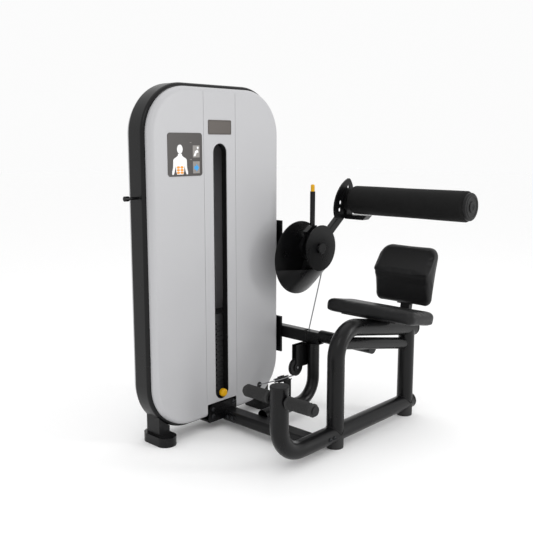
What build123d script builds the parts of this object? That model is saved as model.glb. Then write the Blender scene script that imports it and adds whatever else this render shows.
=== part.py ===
"""Seated abdominal crunch machine with a weight stack: a tower in a steel hoop, a low seat
frame beside it, and a swinging arm with a foam roller, pulled by a cable over a cam.

+X runs from the tower to the seat, +Y from the foot bar to the back pad, +Z is up.
The user sits facing -Y. Working coordinates are turned into the part's own frame, whose
origin is at the middle of the footprint on the floor, by the last step. Millimetres.
"""
from build123d import *
import math
import os

os.makedirs("parts", exist_ok=True)

# ---- driving dimensions -------------------------------------------------------------
# tower
TOWER_X = -473.0            # middle of the hoop, across its thickness
TOWER_Y = -178.0            # middle of the tower, along its broad face
TOWER_WIDTH = 824.0
TOWER_BOTTOM, TOWER_TOP = 50.0, 1598.0
HOOP_DEPTH, HOOP_WALL = 100.0, 50.0     # flat-oval tube, along X and across it
HOOP_CORNER = 225.0                     # outer corner radius
SHROUD_CROWN = 34.0                     # how far a shroud stands off the hoop
SHROUD_INSET = 16.0
SHROUD_SHEET = 4.0
SLOT_WIDTH, SLOT_BOTTOM, SLOT_TOP = 84.0, 138.0, 1338.0
# weight stack
PLATE_COUNT, PLATE_PITCH = 15, 25.0
PLATE_SIZE = (92.0, 330.0, 24.4)
STACK_BASE = 132.0
GUIDE_ROD_R, GUIDE_SPACING = 12.5, 230.0
STEM_R = 11.0
SELECTED_PLATE = 1                      # counted from the bottom plate, which is 0
# seat frame
SEAT_X = 158.0              # middle plane of the seat frame
TUBE_R = 39.0               # main round tube
FRONT_Y, REAR_Y, POST_Y = -8.0, 555.0, -379.0
BASE_Z = 64.5
POST_TOP = 366.0
RAIL_FRONT_Z, RAIL_SLOPE = 548.0, 10.2  # upper rail's axis height at the front upright, degrees
RAIL_END_Y = 603.0
BEND_TOP, BEND_FOOT = 120.0, 130.0
WALL = 3.5                  # wall of the steel tubes
LOWER_RAIL_R = 28.0
FOOT_BAR_Z, FOOT_BAR_Y, FOOT_BAR_HALF = 313.0, -379.0, 186.0
# cross members
CROSS_Y, CROSS_Z, CROSS_WIDTH, CROSS_HEIGHT = -140.0, 56.0, 80.0, 52.0
BEAM_Y, BEAM_Z, BEAM_W, BEAM_H = 269.0, 388.0, 50.0, 60.0
BEAM_END, STUB_R = -150.0, 30.0
BRACE_X, BRACE_R, BRACE_BEND = -198.0, 30.0, 110.0
# arm and cam
PIVOT_Y, PIVOT_Z = 273.0, 835.0
SHAFT_R = 17.5
GUARD_X, GUARD_R, GUARD_Y, GUARD_DROP = -279.0, 180.0, 250.0, 53.0
NEAR_X, NEAR_R, NEAR_Y = -168.0, 112.0, 279.0
CAM_X, CAM_R = -238.0, 140.0
ARM_X, ARM_W, ARM_ANGLE = -187.0, 30.0, 38.0
ROLLER_R_FROM_PIVOT, ROLLER_ANGLE = 313.0, 46.2
ROLLER_X0, ROLLER_LENGTH, FOAM_R = -130.0, 644.0, 70.0
CABLE_R, ROPE_GAP = 3.0, 0.35
RUN = 0.05                  # radial running clearance of a shaft in its bore
GAP = 0.02                  # the air left between two parts that touch

NODES = {}


def put(name, shape):
    """Register a finished shape under its node name."""
    NODES[name] = shape
    return shape


def box(x0, x1, y0, y1, z0, z1):
    return Pos((x0 + x1) / 2, (y0 + y1) / 2, (z0 + z1) / 2) * Box(x1 - x0, y1 - y0, z1 - z0)


def rod(axis, a, b, r, u=0.0, v=0.0):
    """A cylinder along X, Y or Z from a to b; u and v are its other two coordinates."""
    middle, length = (a + b) / 2, abs(b - a)
    if axis == "x":
        return Pos(middle, u, v) * Rot(0, 90, 0) * Cylinder(r, length)
    if axis == "y":
        return Pos(u, middle, v) * Rot(90, 0, 0) * Cylinder(r, length)
    return Pos(u, v, middle) * Cylinder(r, length)


def pipe(points, radii, r, wall=None):
    """A round tube or bar along straight runs joined by arcs."""
    path = FilletPolyline(*points, radius=radii) if radii else Polyline(*points)
    start = Plane(origin=path @ 0, z_dir=path % 0)
    ring = Circle(r) if wall is None else Circle(r) - Circle(r - wall)
    return sweep(start * ring, path)


def on_arc(angle, radius):
    """Y and Z of a point round the arm's pivot; the angle is measured from +Y upwards."""
    a = math.radians(angle)
    return PIVOT_Y + radius * math.cos(a), PIVOT_Z + radius * math.sin(a)


def plate_x(outline, x, thickness):
    """A flat plate whose outline is given in Y and Z, from x to x + thickness."""
    face = Plane(origin=(x, 0, 0), x_dir=(0, 1, 0), z_dir=(1, 0, 0)) * outline
    return extrude(face, thickness)


def rail_z(y):
    """Height of the upper rail's axis above a point along the frame."""
    return RAIL_FRONT_Z - (y - FRONT_Y) * math.tan(math.radians(RAIL_SLOPE))


# ---- tower --------------------------------------------------------------------------
HOOP_Y0, HOOP_Y1 = TOWER_Y - TOWER_WIDTH / 2, TOWER_Y + TOWER_WIDTH / 2
HOOP_FRONT, HOOP_BACK = TOWER_X + HOOP_DEPTH / 2, TOWER_X - HOOP_DEPTH / 2
MIDDLE_Z = (TOWER_BOTTOM + TOWER_TOP) / 2
TOWER_HEIGHT = TOWER_TOP - TOWER_BOTTOM


def tower_outline(inset):
    return Pos(TOWER_Y, MIDDLE_Z) * RectangleRounded(
        TOWER_WIDTH - 2 * inset, TOWER_HEIGHT - 2 * inset, HOOP_CORNER - inset)


hoop = plate_x(tower_outline(0) - tower_outline(HOOP_WALL), HOOP_BACK, HOOP_DEPTH)
hoop_edges = hoop.edges().filter_by(lambda e: abs(abs(e.center().X - TOWER_X) - HOOP_DEPTH / 2) < 1)
hoop = fillet(hoop_edges, 14)
hoop -= plate_x(tower_outline(WALL) - tower_outline(HOOP_WALL - WALL), HOOP_BACK + 14, HOOP_DEPTH - 28)

NOTCH_HALF, NOTCH_TOP = 94.0, 128.0


def shroud(x, side):
    """A crowned cover: a shallow tray whose rim sits on the hoop."""
    outer = plate_x(tower_outline(SHROUD_INSET), x, side * SHROUD_CROWN)
    face_x = x + side * SHROUD_CROWN
    rim = outer.edges().filter_by(lambda e: abs(e.center().X - face_x) < 1)
    outer = fillet(rim, 24)
    inner = plate_x(tower_outline(SHROUD_INSET + SHROUD_SHEET), x, side * (SHROUD_CROWN - SHROUD_SHEET))
    inner_face = x + side * (SHROUD_CROWN - SHROUD_SHEET)
    inner_rim = inner.edges().filter_by(lambda e: abs(e.center().X - inner_face) < 1)
    return outer - fillet(inner_rim, 20)


SLOT_MID = (SLOT_BOTTOM + SLOT_TOP) / 2
slot_cut = plate_x(Pos(TOWER_Y, SLOT_MID) * SlotOverall(SLOT_TOP - SLOT_BOTTOM, SLOT_WIDTH, rotation=90),
                   HOOP_FRONT - 2, SHROUD_CROWN + 4)
front_shroud = shroud(HOOP_FRONT, 1) - slot_cut
front_shroud -= box(HOOP_FRONT - 2, HOOP_FRONT + SHROUD_CROWN + 2,
                    TOWER_Y - NOTCH_HALF, TOWER_Y + NOTCH_HALF, TOWER_BOTTOM, NOTCH_TOP)
CABLE_OUT_Y, CABLE_OUT_Z, GROMMET_R = 77.0, 143.0, 11.0
front_shroud -= rod("x", HOOP_FRONT, HOOP_FRONT + SHROUD_CROWN + 3, GROMMET_R, CABLE_OUT_Y, CABLE_OUT_Z)
SEAM_HALF = 98.0
for seam_y in (TOWER_Y - SEAM_HALF, TOWER_Y + SEAM_HALF):
    front_shroud -= box(HOOP_FRONT + SHROUD_CROWN - 1.5, HOOP_FRONT + SHROUD_CROWN + 1,
                        seam_y - 1, seam_y + 1, NOTCH_TOP + 8, TOWER_TOP - 30)
put("front_shroud", front_shroud)
put("rear_shroud", shroud(HOOP_BACK, -1))

LINER_DEPTH = 28.0
FACE_X = HOOP_FRONT + SHROUD_CROWN
liner_outer = SlotOverall(SLOT_TOP - SLOT_BOTTOM - 1, SLOT_WIDTH - 1, rotation=90)
liner_inner = SlotOverall(SLOT_TOP - SLOT_BOTTOM - 7, SLOT_WIDTH - 7, rotation=90)
liner = plate_x(Pos(TOWER_Y, SLOT_MID) * (liner_outer - liner_inner), FACE_X - LINER_DEPTH - 2, LINER_DEPTH)
LINER_END, LINER_GAP = 80.0, 0.05        # the liner's rounded ends are separate mouldings
for z in (SLOT_BOTTOM + LINER_END, SLOT_TOP - LINER_END):
    liner -= box(HOOP_FRONT - 2, FACE_X, TOWER_Y - SLOT_WIDTH, TOWER_Y + SLOT_WIDTH, z, z + LINER_GAP)
liner -= box(HOOP_FRONT - 2, FACE_X, TOWER_Y, TOWER_Y + LINER_GAP, SLOT_BOTTOM, SLOT_BOTTOM + LINER_END)
put("slot_liner", liner)
grommet = rod("x", FACE_X - SHROUD_SHEET, FACE_X, GROMMET_R - GAP, CABLE_OUT_Y, CABLE_OUT_Z)
grommet += rod("x", FACE_X + GAP, FACE_X + 3, GROMMET_R + 4, CABLE_OUT_Y, CABLE_OUT_Z)
grommet -= rod("x", FACE_X - 10, FACE_X + 10, GROMMET_R - 4, CABLE_OUT_Y, CABLE_OUT_Z)
put("cable_grommet", grommet)
put("exercise_placard", plate_x(Pos(-385.0, 1290.0) * RectangleRounded(196, 186, 14), FACE_X + GAP, 1.5))
put("name_plate", plate_x(Pos(TOWER_Y, 1409.0) * RectangleRounded(142, 64, 6), FACE_X + GAP, 1.5))

# feet under the tower
FOOT_OFFSET, FOOT_TOP = 327.0, 42.0
foot_parts = []
for side in (-1, 1):
    foot_y = TOWER_Y + side * FOOT_OFFSET
    foot = extrude(Pos(TOWER_X + 18, foot_y) * SlotOverall(176, 92), FOOT_TOP)
    riser = box(TOWER_X - 38, HOOP_FRONT, foot_y - 30, foot_y + 30, FOOT_TOP, 190)
    foot_parts.append(foot + (riser - plate_x(tower_outline(-GAP), TOWER_X - 80, 200)))
put("tower_feet", Compound(foot_parts))
put("tower_hoop", hoop)

# hanging peg on the narrow side
PEG_Z = 1108.0
put("accessory_peg", rod("y", HOOP_Y0 - 42, HOOP_Y0 - GAP, 6, TOWER_X, PEG_Z)
    + rod("y", HOOP_Y0 - 60, HOOP_Y0 - 40, 11, TOWER_X, PEG_Z))

# ---- weight stack -------------------------------------------------------------------
pl_x, pl_y, pl_z = PLATE_SIZE
ROD_YS = (TOWER_Y - GUIDE_SPACING / 2, TOWER_Y + GUIDE_SPACING / 2)
INNER_BOTTOM, INNER_TOP = TOWER_BOTTOM + HOOP_WALL, TOWER_TOP - HOOP_WALL
ROD_TOP, CROSSBAR_H, CROSSBAR_DEPTH = 1345.0, 30.0, 50.0
put("guide_rods", Compound([
    rod("z", INNER_BOTTOM + GAP, ROD_TOP - GAP, GUIDE_ROD_R, TOWER_X, y) for y in ROD_YS]))
put("stack_bumpers", Compound([
    rod("z", INNER_BOTTOM + GAP, STACK_BASE - 0.5, 24, TOWER_X, y)
    - rod("z", 0, STACK_BASE, GUIDE_ROD_R + RUN, TOWER_X, y) for y in ROD_YS]))
PIN_R, PIN_DROP = 5.0, pl_z / 2
ROD_CLEAR = 1.0


def weight_plate(index):
    """A cast plate with two guide holes, a stem hole and a cross hole for the selector pin."""
    z0 = STACK_BASE + index * PLATE_PITCH
    plate = Pos(TOWER_X, TOWER_Y, z0 + pl_z / 2) * Box(pl_x, pl_y, pl_z)
    plate = chamfer(plate.edges().group_by(Axis.Z)[-1] + plate.edges().group_by(Axis.Z)[0], 2)
    for y in ROD_YS:
        plate -= rod("z", z0 - 1, z0 + pl_z + 1, GUIDE_ROD_R + ROD_CLEAR, TOWER_X, y)
    plate -= rod("z", z0 - 1, z0 + pl_z + 1, STEM_R + ROD_CLEAR, TOWER_X, TOWER_Y)
    plate -= rod("x", TOWER_X - 20, TOWER_X + 60, PIN_R + RUN, TOWER_Y, z0 + PIN_DROP)
    return plate


put("weight_plates", Compound([weight_plate(i) for i in range(1, PLATE_COUNT)]))
put("bottom_plate", weight_plate(0))
STACK_TOP = STACK_BASE + PLATE_COUNT * PLATE_PITCH
TOP_PLATE_H = 34.0
top_plate = box(TOWER_X - pl_x / 2, TOWER_X + pl_x / 2, TOWER_Y - pl_y / 2, TOWER_Y + pl_y / 2,
                STACK_TOP, STACK_TOP + TOP_PLATE_H)
for y in ROD_YS:
    top_plate += rod("z", STACK_TOP + TOP_PLATE_H, STACK_TOP + TOP_PLATE_H + 30, 20, TOWER_X, y)
    top_plate -= rod("z", STACK_TOP - 1, STACK_TOP + TOP_PLATE_H + 31, GUIDE_ROD_R + 0.08, TOWER_X, y)
top_plate -= rod("z", STACK_TOP - 1, STACK_TOP + TOP_PLATE_H + 1, STEM_R, TOWER_X, TOWER_Y)
put("stack_top_plate", top_plate)
STEM_TOP = STACK_TOP + TOP_PLATE_H + 26
stem = rod("z", STACK_BASE + 2, STEM_TOP, STEM_R, TOWER_X, TOWER_Y)
PIN_Z = STACK_BASE + SELECTED_PLATE * PLATE_PITCH + PIN_DROP
for i in range(PLATE_COUNT):
    hole_z = STACK_BASE + i * PLATE_PITCH + PIN_DROP
    stem -= rod("x", TOWER_X - 20, TOWER_X + 20, PIN_R + RUN, TOWER_Y, hole_z)
put("selector_stem", stem)
KNOB_X = FACE_X - 6
put("selector_pin", rod("x", TOWER_X - 16, KNOB_X, PIN_R, TOWER_Y, PIN_Z))
knob = rod("x", KNOB_X, KNOB_X + 26, 19, TOWER_Y, PIN_Z)
put("selector_knob", fillet(knob.edges().filter_by(GeomType.CIRCLE), 8))

# ---- cable route --------------------------------------------------------------------
NORMAL_ANGLE = -19.0        # where the cable leaves the cam, from +Y
ROPE_R = CAM_R + CABLE_R + ROPE_GAP
leave_y, leave_z = on_arc(NORMAL_ANGLE, ROPE_R)
DOWN_SLOPE = math.tan(math.radians(NORMAL_ANGLE))
LOW_RUN_Z = 205.0
low_y = leave_y + (leave_z - LOW_RUN_Z) * DOWN_SLOPE
TOP_RUN_Z = 1490.0
corners = [
    Vector(CAM_X, leave_y, leave_z),
    Vector(CAM_X, low_y, LOW_RUN_Z),
    Vector(CAM_X, CABLE_OUT_Y, LOW_RUN_Z),
    Vector(TOWER_X, CABLE_OUT_Y, 109.0),
    Vector(TOWER_X, CABLE_OUT_Y, TOP_RUN_Z),
    Vector(TOWER_X, TOWER_Y, TOP_RUN_Z),
    Vector(TOWER_X, TOWER_Y, 1400.0),
]
PULLEY_R = [36.0, 33.0, 27.0, 45.0, 45.0]   # groove radius at each corner
PULLEY_HALF = 9.0
ropes = [r + CABLE_R + ROPE_GAP for r in PULLEY_R]


def corner_frame(i):
    """Centre and axis of the pulley that the cable bends round at corner i."""
    back = (corners[i - 1] - corners[i]).normalized()
    ahead = (corners[i + 1] - corners[i]).normalized()
    half = math.radians(back.get_angle(ahead)) / 2
    middle = (back + ahead).normalized()
    return corners[i] + middle * (ropes[i - 1] / math.sin(half)), back.cross(ahead).normalized()


def pulley(i, bore):
    """A grooved wheel centred on its own axis, then set in place."""
    groove = PULLEY_R[i - 1]
    flange = groove + 7.0
    profile = Polyline((bore, -PULLEY_HALF), (flange, -PULLEY_HALF), (flange, -PULLEY_HALF + 2),
                       (groove, -CABLE_R), (groove, CABLE_R), (flange, PULLEY_HALF - 2),
                       (flange, PULLEY_HALF), (bore, PULLEY_HALF), close=True)
    wheel = revolve(Plane.XZ * make_face(profile), Axis.Z)
    centre, axis = corner_frame(i)
    return Plane(origin=centre, z_dir=axis) * wheel


def axle(i, r, half):
    centre, axis = corner_frame(i)
    return Plane(origin=centre, z_dir=axis) * Cylinder(r, 2 * half)


def cheeks(i, reach, width, gap=PULLEY_HALF + 1, sheet=5.0):
    """Two side plates of a pulley bracket, reaching from the axle along the given vector."""
    centre, axis = corner_frame(i)
    flat = reach - axis * reach.dot(axis)
    frame = Plane(origin=centre, x_dir=flat.normalized(), z_dir=axis)
    outline = Pos(flat.length / 2, 0) * Rectangle(flat.length, width) + Circle(width / 2)
    both = []
    for z in (gap, -gap - sheet):
        cheek = extrude(frame.offset(z) * outline, sheet)
        both.append(cheek - axle(i, AXLE_R + GAP, 60))
    return both


AXLE_R = 6.0
pulley_names = ["arm_pulley", "floor_pulley", "tower_exit_pulley", "top_pulley_side", "top_pulley_centre"]
for number, name in enumerate(pulley_names, start=1):
    put(name, pulley(number, AXLE_R + RUN))

rope = pipe([tuple(p) for p in corners], ropes, CABLE_R)
HANG_TOP = corners[6].Z
put("drive_cable", rope)
crossbar = box(TOWER_X - CROSSBAR_DEPTH / 2, TOWER_X + CROSSBAR_DEPTH / 2, HOOP_Y0, HOOP_Y1,
               ROD_TOP, ROD_TOP + CROSSBAR_H)
crossbar = crossbar & plate_x(tower_outline(HOOP_WALL + GAP), HOOP_BACK, HOOP_DEPTH)
for y in (TOWER_Y, corners[4].Y):
    crossbar -= rod("z", ROD_TOP - 1, ROD_TOP + CROSSBAR_H + 1, CABLE_R + 4, TOWER_X, y)
put("guide_crossbar", crossbar)
put("stack_cable", rod("z", STEM_TOP + GAP, HANG_TOP - GAP, CABLE_R, TOWER_X, TOWER_Y))
WRAP_ANGLE = 26.0
wrap_path = Plane(origin=(CAM_X, PIVOT_Y, PIVOT_Z), x_dir=(0, 1, 0), z_dir=(1, 0, 0)) * CenterArc(
    (0, 0), ROPE_R, NORMAL_ANGLE + RUN, WRAP_ANGLE)
put("cam_cable", sweep(Plane(origin=wrap_path @ 0, z_dir=wrap_path % 0) * Circle(CABLE_R), wrap_path))

# ---- seat frame ---------------------------------------------------------------------
front_frame = pipe([(SEAT_X, FRONT_Y, BASE_Z), (SEAT_X, FRONT_Y, RAIL_FRONT_Z),
                    (SEAT_X, RAIL_END_Y, rail_z(RAIL_END_Y))], [BEND_TOP], TUBE_R, WALL)
base_rail = pipe([(SEAT_X, REAR_Y + TUBE_R, BASE_Z), (SEAT_X, POST_Y, BASE_Z),
                  (SEAT_X, POST_Y, POST_TOP)], [BEND_FOOT], TUBE_R, WALL)
rail_tool = rod("y", POST_Y + BEND_FOOT, REAR_Y + 60, TUBE_R + GAP, SEAT_X, BASE_Z)
rear_upright = rod("z", BASE_Z, rail_z(REAR_Y), TUBE_R, SEAT_X, REAR_Y)
rear_upright -= rod("z", BASE_Z, rail_z(REAR_Y), TUBE_R - WALL, SEAT_X, REAR_Y)
upper_tool = pipe([(SEAT_X, FRONT_Y, BASE_Z), (SEAT_X, FRONT_Y, RAIL_FRONT_Z),
                   (SEAT_X, RAIL_END_Y + 20, rail_z(RAIL_END_Y + 20))], [BEND_TOP], TUBE_R + GAP)
front_frame -= rail_tool
rear_upright = rear_upright - rail_tool - upper_tool
LOWER_FRONT, LOWER_REAR = (FRONT_Y, 476.0), (REAR_Y, 366.0)
lower_rail = pipe([(SEAT_X, *LOWER_FRONT), (SEAT_X, *LOWER_REAR)], None, LOWER_RAIL_R, WALL)
rear_tool = rod("z", BASE_Z, rail_z(REAR_Y) + 60, TUBE_R + GAP, SEAT_X, REAR_Y)
lower_rail = lower_rail - upper_tool - rear_tool

# foot bar through the post, with a grip each side
FOOT_BAR_R, GRIP_R = 16.0, 27.0
foot_bar = rod("x", SEAT_X - FOOT_BAR_HALF, SEAT_X + FOOT_BAR_HALF, FOOT_BAR_R, FOOT_BAR_Y, FOOT_BAR_Z)
base_rail -= rod("x", SEAT_X - 80, SEAT_X + 80, FOOT_BAR_R + GAP, FOOT_BAR_Y, FOOT_BAR_Z)
grips, end_caps = [], []
for side in (-1, 1):
    inner_x, outer_x = SEAT_X + side * (TUBE_R + 6), SEAT_X + side * (FOOT_BAR_HALF - 2)
    grip = rod("x", inner_x, outer_x, GRIP_R, FOOT_BAR_Y, FOOT_BAR_Z)
    grip = fillet(grip.edges().filter_by(GeomType.CIRCLE), 5)
    grip -= rod("x", SEAT_X - 300, SEAT_X + 300, FOOT_BAR_R + RUN, FOOT_BAR_Y, FOOT_BAR_Z)
    grips.append(grip)
    end = SEAT_X + side * FOOT_BAR_HALF
    end_caps.append(rod("x", end + side * GAP, end + side * 5, 20, FOOT_BAR_Y, FOOT_BAR_Z))
put("foot_bar", foot_bar)
put("foot_grips", Compound(grips))
cap = rod("z", POST_TOP + GAP, POST_TOP + 8, TUBE_R + 1, SEAT_X, POST_Y)
end_caps.append(fillet(cap.edges().group_by(Axis.Z)[-1], 3))
end_dir = Vector(0, math.cos(math.radians(RAIL_SLOPE)), -math.sin(math.radians(RAIL_SLOPE)))
end_plane = Plane(origin=(SEAT_X, RAIL_END_Y, rail_z(RAIL_END_Y)), z_dir=end_dir)
end_caps.append(extrude(end_plane.offset(GAP) * Circle(TUBE_R + 1), 7))
end_caps.append(rod("y", REAR_Y + TUBE_R + GAP, REAR_Y + TUBE_R + 6, TUBE_R + 1, SEAT_X, BASE_Z))
put("tube_end_caps", Compound(end_caps))
rubber = [rod("z", 0, BASE_Z, TUBE_R, SEAT_X, y) - rail_tool for y in (FRONT_Y, REAR_Y)]
rubber = [part.solids().sort_by(Axis.Z)[0] for part in rubber]
put("rubber_feet", Compound(rubber))

# base cross tube from the tower's saddle to the base rail
CROSS_START = FACE_X + 6
cross_profile = Pos(CROSS_Y, CROSS_Z) * (
    RectangleRounded(CROSS_WIDTH, CROSS_HEIGHT, 14)
    - RectangleRounded(CROSS_WIDTH - 2 * WALL, CROSS_HEIGHT - 2 * WALL, 14 - WALL))
cross_tube = plate_x(cross_profile, CROSS_START, SEAT_X - CROSS_START) - rail_tool
saddle = box(FACE_X - 2, FACE_X + 6 - GAP, TOWER_Y - 88, TOWER_Y + 88, 40, 124)
saddle = chamfer(saddle.edges().filter_by(Axis.X).group_by(Axis.Z)[-1], 18)
saddle += box(HOOP_BACK + 4, FACE_X, TOWER_Y - 88, TOWER_Y + 88, 40, TOWER_BOTTOM - GAP)
put("saddle_bracket", saddle)

# upper beam on the tower's far side, with its stub, brace and flange plates
FLANGE_T = 10.0
FLANGE_X0, FLANGE_X1 = HOOP_BACK + 6, FACE_X + 4
SIDE_Y = HOOP_Y1 + GAP
beam_profile = Pos(BEAM_Y, BEAM_Z) * (RectangleRounded(BEAM_W, BEAM_H, 8)
                                      - RectangleRounded(BEAM_W - 2 * WALL, BEAM_H - 2 * WALL, 8 - WALL))
beam = plate_x(beam_profile, FLANGE_X0, BEAM_END - FLANGE_X0)
CABLE_SLOT = 9.0
beam -= box(CAM_X - CABLE_SLOT, CAM_X + CABLE_SLOT, BEAM_Y - 19, BEAM_Y + 20,
            BEAM_Z - BEAM_H / 2 - 1, BEAM_Z + BEAM_H / 2 + 1)
beam -= box(FLANGE_X0 - 10, FLANGE_X1 + 2, HOOP_Y1 - 20, SIDE_Y + FLANGE_T, 300, 500)
stub = rod("x", BEAM_END, SEAT_X, STUB_R, BEAM_Y, BEAM_Z + 12)
lower_tool = pipe([(SEAT_X, *LOWER_FRONT), (SEAT_X, *LOWER_REAR)], None, LOWER_RAIL_R + GAP)
stub -= lower_tool
stub = stub.solids().sort_by(Axis.X)[0]
brace_foot_z = 76.0
brace_line = [(BRACE_X, BEAM_Y, BEAM_Z - BEAM_H / 2 - GAP), (BRACE_X, BEAM_Y, brace_foot_z),
              (BRACE_X, CROSS_Y + CROSS_WIDTH / 2 + GAP, brace_foot_z)]
brace = pipe(brace_line, [BRACE_BEND], BRACE_R, WALL)
brace_tool = pipe(brace_line, [BRACE_BEND], BRACE_R + GAP)
BEAM_FLANGE_H, PIVOT_FLANGE_H = 184.0, 246.0
beam_flange = box(FLANGE_X0, FLANGE_X1, SIDE_Y, SIDE_Y + FLANGE_T,
                  BEAM_Z - 12 - BEAM_FLANGE_H / 2, BEAM_Z - 12 + BEAM_FLANGE_H / 2)
pivot_flange = box(FLANGE_X0, FLANGE_X1, SIDE_Y, SIDE_Y + FLANGE_T,
                   PIVOT_Z - PIVOT_FLANGE_H / 2, PIVOT_Z + PIVOT_FLANGE_H / 2)
HOUSING_R = 32.0
housing = rod("x", FLANGE_X0, GUARD_X - GAP, HOUSING_R, PIVOT_Y, PIVOT_Z)
housing -= rod("x", FLANGE_X0 - 1, GUARD_X + 1, SHAFT_R + 8, PIVOT_Y, PIVOT_Z)
housing -= box(FLANGE_X0 - 10, GUARD_X, HOOP_Y1 - 60, SIDE_Y + FLANGE_T, 700, 1000)
side_beam = beam_flange + beam + stub
put("pivot_bracket", pivot_flange + housing)
bearings = [rod("x", a, a + 18, SHAFT_R + 7.98, PIVOT_Y, PIVOT_Z)
            - rod("x", a - 1, a + 19, SHAFT_R + RUN, PIVOT_Y, PIVOT_Z)
            for a in (FLANGE_X0 + 6, GUARD_X - 26)]
put("pivot_bearings", Compound(bearings))

# ---- cam guard: a big back plate, a small front plate and a skirt under both ---------
GUARD_T, SKIRT_T = 4.0, 3.0
guard_z = PIVOT_Z - GUARD_DROP
back_plate = rod("x", GUARD_X, GUARD_X + GUARD_T, GUARD_R, GUARD_Y, guard_z)
back_plate -= rod("x", GUARD_X - 1, GUARD_X + GUARD_T + 1, SHAFT_R + 2, PIVOT_Y, PIVOT_Z)
front_plate = rod("x", NEAR_X, NEAR_X + GUARD_T, NEAR_R, NEAR_Y, PIVOT_Z)
front_plate -= rod("x", NEAR_X - 1, NEAR_X + GUARD_T + 1, SHAFT_R + 2, PIVOT_Y, PIVOT_Z)


def guard_cone(inset):
    """The solid between the back plate's rim and the front plate's rim, drawn in by inset."""
    back_rim = Plane(origin=(GUARD_X + GUARD_T, GUARD_Y, guard_z), x_dir=(0, 1, 0), z_dir=(1, 0, 0))
    front_rim = Plane(origin=(NEAR_X, NEAR_Y, PIVOT_Z), x_dir=(0, 1, 0), z_dir=(1, 0, 0))
    return loft([back_rim * Circle(GUARD_R - inset), front_rim * Circle(NEAR_R - inset)])


SKIRT_TOP = PIVOT_Z - 98.0
below = box(GUARD_X - 10, NEAR_X + 10, PIVOT_Y - 250, PIVOT_Y + 250, 500, SKIRT_TOP)
skirt = (guard_cone(0) - guard_cone(SKIRT_T)) & below
skirt -= box(CAM_X - 12, CAM_X + 12, leave_y - 90, leave_y + 10, 500, SKIRT_TOP + 1)
put("guard_back_plate", back_plate)
put("guard_front_cover", front_plate + skirt)

# ---- cam, shaft and arm -------------------------------------------------------------
CAM_HALF = 9.0
cam_profile = Polyline((SHAFT_R, -CAM_HALF), (CAM_R + 9, -CAM_HALF), (CAM_R + 9, -CAM_HALF + 2),
                       (CAM_R, -CABLE_R), (CAM_R, CABLE_R), (CAM_R + 9, CAM_HALF - 2),
                       (CAM_R + 9, CAM_HALF), (SHAFT_R, CAM_HALF), close=True)
cam = revolve(Plane.XZ * make_face(cam_profile), Axis.Z)
cam = Plane(origin=(CAM_X, PIVOT_Y, PIVOT_Z), z_dir=(1, 0, 0)) * cam
# the wheel is a sector: the part the cable never reaches is cut away
keep_from, keep_to = NORMAL_ANGLE - 92.0, NORMAL_ANGLE + WRAP_ANGLE + 12.0
sector_points = [(0.0, 0.0)]
for step in range(7):
    a = math.radians(keep_from + (keep_to - keep_from) * step / 6)
    sector_points.append((260 * math.cos(a), 260 * math.sin(a)))
sector = Pos(PIVOT_Y, PIVOT_Z) * make_face(Polyline(*sector_points, close=True))
sector_tool = plate_x(sector, CAM_X - 20, 40) + rod("x", CAM_X - 20, CAM_X + 20, 60, PIVOT_Y, PIVOT_Z)
cam = cam & sector_tool
for a in (NORMAL_ANGLE - 62, NORMAL_ANGLE - 22):
    hole_y, hole_z = on_arc(a, 96)
    cam -= rod("x", CAM_X - 20, CAM_X + 20, 17, hole_y, hole_z)
put("cam", cam)
SHAFT_END = NEAR_X + GUARD_T + 8
put("pivot_shaft", rod("x", FLANGE_X0 + 2, SHAFT_END, SHAFT_R, PIVOT_Y, PIVOT_Z))
ARM_HUB_R, ARM_H = 34.0, 40.0
hub = rod("x", ARM_X - ARM_W / 2, ARM_X + ARM_W / 2, ARM_HUB_R, PIVOT_Y, PIVOT_Z)
hub -= rod("x", ARM_X - 40, ARM_X + 40, SHAFT_R + RUN, PIVOT_Y, PIVOT_Z)
cap_disc = rod("x", SHAFT_END + GAP, SHAFT_END + 6, 26, PIVOT_Y, PIVOT_Z)
put("pivot_cap", fillet(cap_disc.edges().group_by(Axis.X)[-1], 3))

ARM_END_R = 236.0
arm_length = ARM_END_R - 20
arm = Pos(ARM_X, PIVOT_Y, PIVOT_Z) * Rot(ARM_ANGLE, 0, 0) * Pos(0, 20 + arm_length / 2, 0) * Box(
    ARM_W, arm_length, ARM_H)
arm = fillet(arm.edges().filter_by(lambda e: abs(e.length - arm_length) < 1), 5)
arm -= rod("x", ARM_X - 40, ARM_X + 40, ARM_HUB_R - 2, PIVOT_Y, PIVOT_Z)
roller_y, roller_z = on_arc(ROLLER_ANGLE, ROLLER_R_FROM_PIVOT)
QUAD_T = 8.0
QUAD_X = ARM_X + ARM_W / 2 + GAP
quad_line = [(0, 104), (-66, 60), (-104, -4), (-110, -48), (-98, -84), (-52, -92), (14, -86), (42, -40),
             (46, 24), (30, 82)]
quad_face = make_face(Spline(*[(roller_y + a, roller_z + b) for a, b in quad_line], periodic=True))
quadrant = plate_x(quad_face, QUAD_X, QUAD_T)
for a, b, r in ((2, 62, 9), (-60, -12, 10.5), (-66, -48, 10.5), (-24, 48, 4)):
    quadrant -= rod("x", QUAD_X - 1, QUAD_X + QUAD_T + 1, r, roller_y + a, roller_z + b)
put("quadrant_plate", quadrant)

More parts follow.
